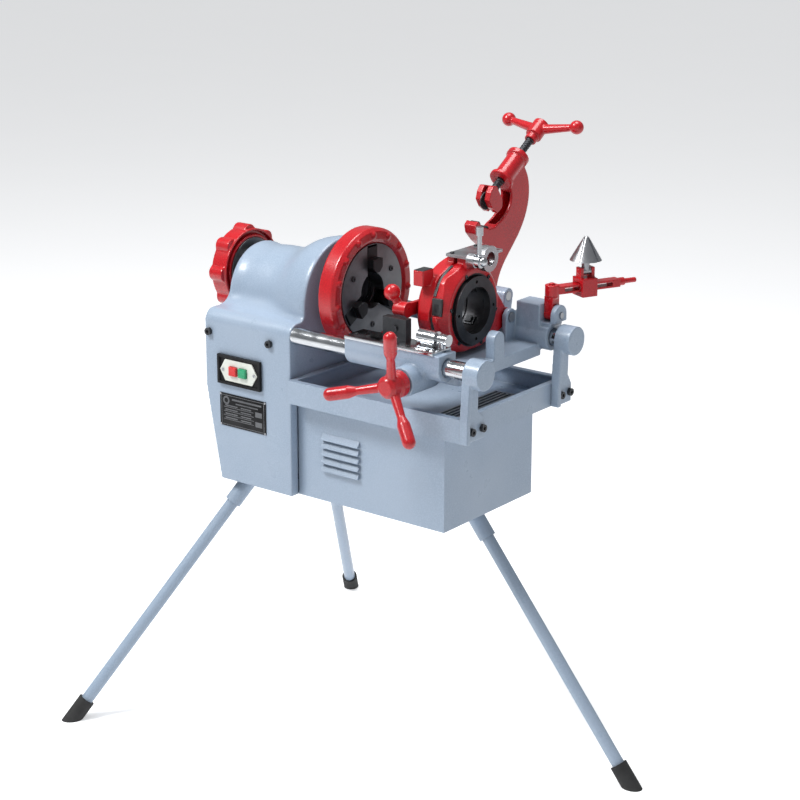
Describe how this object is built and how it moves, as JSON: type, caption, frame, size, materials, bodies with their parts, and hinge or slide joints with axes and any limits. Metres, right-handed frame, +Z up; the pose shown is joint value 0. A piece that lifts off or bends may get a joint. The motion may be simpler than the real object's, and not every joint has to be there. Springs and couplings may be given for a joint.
{
  "type": "pipe threading machine",
  "caption": "Electric pipe threading machine on a tube stand: a hollow spindle with hand-tightened chuck, and a rail carriage with die head, swing-up cutter and reamer.",
  "frame": {"origin": "on the spindle axis, in the plane of the headstock's rear end", "axes": "+X along the spindle from the rear chuck to the tail end of the rails, +Y away from the operator, +Z up"},
  "size_m": [0.9581, 0.8326, 1.0448],
  "materials": {
    "grey_paint": "satin hammered paint",
    "red_paint": "gloss enamel",
    "rail_chrome": "polished",
    "machined_steel": "turned",
    "dark_steel": "blackened",
    "cast_iron": "raw casting",
    "black_plastic": "satin",
    "cream_plastic": "satin",
    "red_plastic": "gloss",
    "green_plastic": "gloss",
    "bronze": "turned",
    "rubber": "matte"
  },
  "bodies": {
    "frame": {"headstock_casing": "grey_paint", "base_box": "grey_paint", "drip_tray": "grey_paint", "front_rail": "rail_chrome", "rear_rail": "rail_chrome", "rail_posts": "grey_paint", "cap_screws": "dark_steel", "switch_bezel": "black_plastic", "switch_plate": "cream_plastic", "bearing_frame": "cast_iron", "spindle_bushes": "bronze", "motor_housing": "dark_steel", "oil_pump": "cast_iron", "cable_gland": "black_plastic", "legs": "grey_paint", "feet": "rubber"},
    "spindle": {"spindle_tube": "machined_steel", "ring_gear": "machined_steel", "front_chuck_body": "dark_steel", "rear_chuck_body": "dark_steel"},
    "second_countershaft": {"countershaft_2": "machined_steel"},
    "first_countershaft": {"countershaft_1": "machined_steel"},
    "rotor": {"motor_rotor": "machined_steel"},
    "chuck_wheel": {"front_chuck_wheel": "red_paint"},
    "chuck_jaw_1": {"front_jaw_1": "dark_steel"},
    "chuck_jaw_2": {"front_jaw_2": "dark_steel"},
    "chuck_jaw_3": {"front_jaw_3": "dark_steel"},
    "centring_wheel": {"rear_chuck_wheel": "red_paint"},
    "centring_jaw_1": {"rear_jaw_1": "dark_steel"},
    "centring_jaw_2": {"rear_jaw_2": "dark_steel"},
    "centring_jaw_3": {"rear_jaw_3": "dark_steel"},
    "carriage": {"carriage_casting": "grey_paint", "stop_block": "dark_steel", "oil_valve": "rail_chrome", "swing_pins": "machined_steel"},
    "feed": {"feed_handwheel": "red_paint", "pinion_shaft": "machined_steel"},
    "die_head": {"die_head_body": "red_paint", "die_face_plate": "dark_steel", "lock_housing": "machined_steel"},
    "cam": {"cam_plate": "dark_steel", "die_lever": "red_paint"},
    "chaser_1": {"die_1": "dark_steel"},
    "chaser_2": {"die_2": "dark_steel"},
    "chaser_3": {"die_3": "dark_steel"},
    "chaser_4": {"die_4": "dark_steel"},
    "size_lock": {"lock_knob": "rail_chrome"},
    "cutter": {"cutter_frame": "red_paint"},
    "roller_1": {"cutter_roller_1": "dark_steel"},
    "roller_2": {"cutter_roller_2": "dark_steel"},
    "cutter_block": {"cutter_slide": "red_paint"},
    "cutting_wheel": {"cutter_wheel": "dark_steel"},
    "cutter_feed": {"cutter_screw": "dark_steel", "cutter_handle": "red_paint"},
    "reamer_swing_arm": {"reamer_arm": "red_paint"},
    "reamer_link": {"reamer_bar": "red_paint"},
    "reamer_carrier": {"reamer_hub": "red_paint"},
    "reamer_head": {"reamer_cone": "machined_steel"},
    "stop": {"stop_button": "red_plastic"},
    "start": {"start_button": "green_plastic"}
  },
  "joints": [
    {"name": "spindle_spin", "type": "hinge", "parent": "frame", "child": "spindle", "pos_m": [0, 0, 0], "axis": [1, 0, 0], "continuous": true},
    {"name": "second_countershaft_spin", "type": "hinge", "parent": "frame", "child": "second_countershaft", "pos_m": [0, 0, -0.085], "axis": [1, 0, 0], "continuous": true},
    {"name": "first_countershaft_spin", "type": "hinge", "parent": "frame", "child": "first_countershaft", "pos_m": [0, 0, -0.145], "axis": [1, 0, 0], "continuous": true},
    {"name": "rotor_spin", "type": "hinge", "parent": "frame", "child": "rotor", "pos_m": [0, 0, -0.212], "axis": [1, 0, 0], "continuous": true},
    {"name": "chuck_wheel_turn", "type": "hinge", "parent": "spindle", "child": "chuck_wheel", "pos_m": [0, 0, 0], "axis": [1, 0, 0], "range_deg": [0, 60]},
    {"name": "chuck_jaw_1_slide", "type": "slide", "parent": "spindle", "child": "chuck_jaw_1", "axis": [0, 0, -1], "range_m": [0, 0.022]},
    {"name": "chuck_jaw_2_slide", "type": "slide", "parent": "spindle", "child": "chuck_jaw_2", "axis": [0, 0.866, 0.5], "range_m": [0, 0.022]},
    {"name": "chuck_jaw_3_slide", "type": "slide", "parent": "spindle", "child": "chuck_jaw_3", "axis": [0, -0.866, 0.5], "range_m": [0, 0.022]},
    {"name": "centring_wheel_turn", "type": "hinge", "parent": "spindle", "child": "centring_wheel", "pos_m": [0, 0, 0], "axis": [1, 0, 0], "range_deg": [0, 60]},
    {"name": "centring_jaw_1_slide", "type": "slide", "parent": "spindle", "child": "centring_jaw_1", "axis": [0, 0, -1], "range_m": [0, 0.018]},
    {"name": "centring_jaw_2_slide", "type": "slide", "parent": "spindle", "child": "centring_jaw_2", "axis": [0, 0.866, 0.5], "range_m": [0, 0.018]},
    {"name": "centring_jaw_3_slide", "type": "slide", "parent": "spindle", "child": "centring_jaw_3", "axis": [0, -0.866, 0.5], "range_m": [0, 0.018]},
    {"name": "carriage_feed", "type": "slide", "parent": "frame", "child": "carriage", "axis": [1, 0, 0], "range_m": [-0.08, 0]},
    {"name": "handwheel_turn", "type": "hinge", "parent": "carriage", "child": "feed", "pos_m": [0.462, 0, -0.08575], "axis": [0, 1, 0], "range_deg": [-1, 408.4]},
    {"name": "die_head_swing", "type": "hinge", "parent": "carriage", "child": "die_head", "pos_m": [0.44, 0.1, -0.032], "axis": [-1, 0, 0], "range_deg": [0, 70]},
    {"name": "cam_lever_turn", "type": "hinge", "parent": "die_head", "child": "cam", "pos_m": [0.42, 0, 0], "axis": [1, 0, 0], "range_deg": [-24, 0]},
    {"name": "chaser_1_slide", "type": "slide", "parent": "die_head", "child": "chaser_1", "axis": [0, 0.7071, -0.7071], "range_m": [0, 0.005]},
    {"name": "chaser_2_slide", "type": "slide", "parent": "die_head", "child": "chaser_2", "axis": [0, 0.7071, 0.7071], "range_m": [0, 0.005]},
    {"name": "chaser_3_slide", "type": "slide", "parent": "die_head", "child": "chaser_3", "axis": [0, -0.7071, 0.7071], "range_m": [0, 0.005]},
    {"name": "chaser_4_slide", "type": "slide", "parent": "die_head", "child": "chaser_4", "axis": [0, -0.7071, -0.7071], "range_m": [0, 0.005]},
    {"name": "size_lock_turn", "type": "hinge", "parent": "die_head", "child": "size_lock", "pos_m": [0.49, -0.012, 0.088], "axis": [1, 0, 0], "range_deg": [-20, 35]},
    {"name": "cutter_swing", "type": "hinge", "parent": "carriage", "child": "cutter", "pos_m": [0.3905, 0.152, -0.012], "axis": [1, 0, 0], "range_deg": [0, 75]},
    {"name": "roller_1_spin", "type": "hinge", "parent": "cutter", "child": "roller_1", "pos_m": [0.3905, 0.117, 0.112], "axis": [1, 0, 0], "continuous": true},
    {"name": "roller_2_spin", "type": "hinge", "parent": "cutter", "child": "roller_2", "pos_m": [0.3905, 0.142, 0.0995], "axis": [1, 0, 0], "continuous": true},
    {"name": "cutter_block_slide", "type": "slide", "parent": "cutter", "child": "cutter_block", "axis": [0, -0.8378, -0.5459], "range_m": [-0.027, 0.014]},
    {"name": "cutting_wheel_spin", "type": "hinge", "parent": "cutter_block", "child": "cutting_wheel", "pos_m": [0.3905, 0.14964, 0.15075], "axis": [1, 0, 0], "continuous": true},
    {"name": "cutter_handle_turn", "type": "hinge", "parent": "cutter_block", "child": "cutter_feed", "pos_m": [0.3905, 0.2435, 0.2119], "axis": [0, -0.8378, -0.5459], "range_deg": [-1620, 840]},
    {"name": "reamer_arm_tilt", "type": "hinge", "parent": "carriage", "child": "reamer_swing_arm", "pos_m": [0.54, 0.135, -0.024], "axis": [1, 0, 0], "range_deg": [-15, 25]},
    {"name": "reamer_link_swing", "type": "hinge", "parent": "reamer_swing_arm", "child": "reamer_link", "pos_m": [0.54, 0.135, 0.017], "axis": [0, 0, 1], "range_deg": [-155, 0]},
    {"name": "reamer_carrier_slide", "type": "slide", "parent": "reamer_link", "child": "reamer_carrier", "axis": [0.4226, 0.9063, 0], "range_m": [-0.015, 0.05]},
    {"name": "reamer_head_turn", "type": "hinge", "parent": "reamer_carrier", "child": "reamer_head", "pos_m": [0.56789, 0.19482, 0.044], "axis": [0.4226, 0.9063, 0], "range_deg": [0, 90]},
    {"name": "stop_button_press", "type": "slide", "parent": "frame", "child": "stop", "axis": [0, 1, 0], "range_m": [0, 0.003], "stiffness_N_per_m": 400},
    {"name": "start_button_press", "type": "slide", "parent": "frame", "child": "start", "axis": [0, 1, 0], "range_m": [0, 0.003], "stiffness_N_per_m": 400}
  ],
  "couplings": [
    {"joint": "second_countershaft_spin", "follows": "spindle_spin", "ratio": -3.8571},
    {"joint": "first_countershaft_spin", "follows": "spindle_spin", "ratio": 12.673},
    {"joint": "rotor_spin", "follows": "spindle_spin", "ratio": -37.275},
    {"joint": "chuck_jaw_1_slide", "follows": "chuck_wheel_turn", "m_per_rad": 0.021008},
    {"joint": "chuck_jaw_2_slide", "follows": "chuck_wheel_turn", "m_per_rad": 0.021008},
    {"joint": "chuck_jaw_3_slide", "follows": "chuck_wheel_turn", "m_per_rad": 0.021008},
    {"joint": "centring_jaw_1_slide", "follows": "centring_wheel_turn", "m_per_rad": 0.017189},
    {"joint": "centring_jaw_2_slide", "follows": "centring_wheel_turn", "m_per_rad": 0.017189},
    {"joint": "centring_jaw_3_slide", "follows": "centring_wheel_turn", "m_per_rad": 0.017189},
    {"joint": "handwheel_turn", "follows": "carriage_feed", "rad_per_m": -88.889},
    {"joint": "chaser_1_slide", "follows": "cam_lever_turn", "m_per_rad": -0.011937},
    {"joint": "chaser_2_slide", "follows": "cam_lever_turn", "m_per_rad": -0.011937},
    {"joint": "chaser_3_slide", "follows": "cam_lever_turn", "m_per_rad": -0.011937},
    {"joint": "chaser_4_slide", "follows": "cam_lever_turn", "m_per_rad": -0.011937},
    {"joint": "cutter_block_slide", "follows": "cutter_handle_turn", "m_per_rad": 0.00095493}
  ]
}
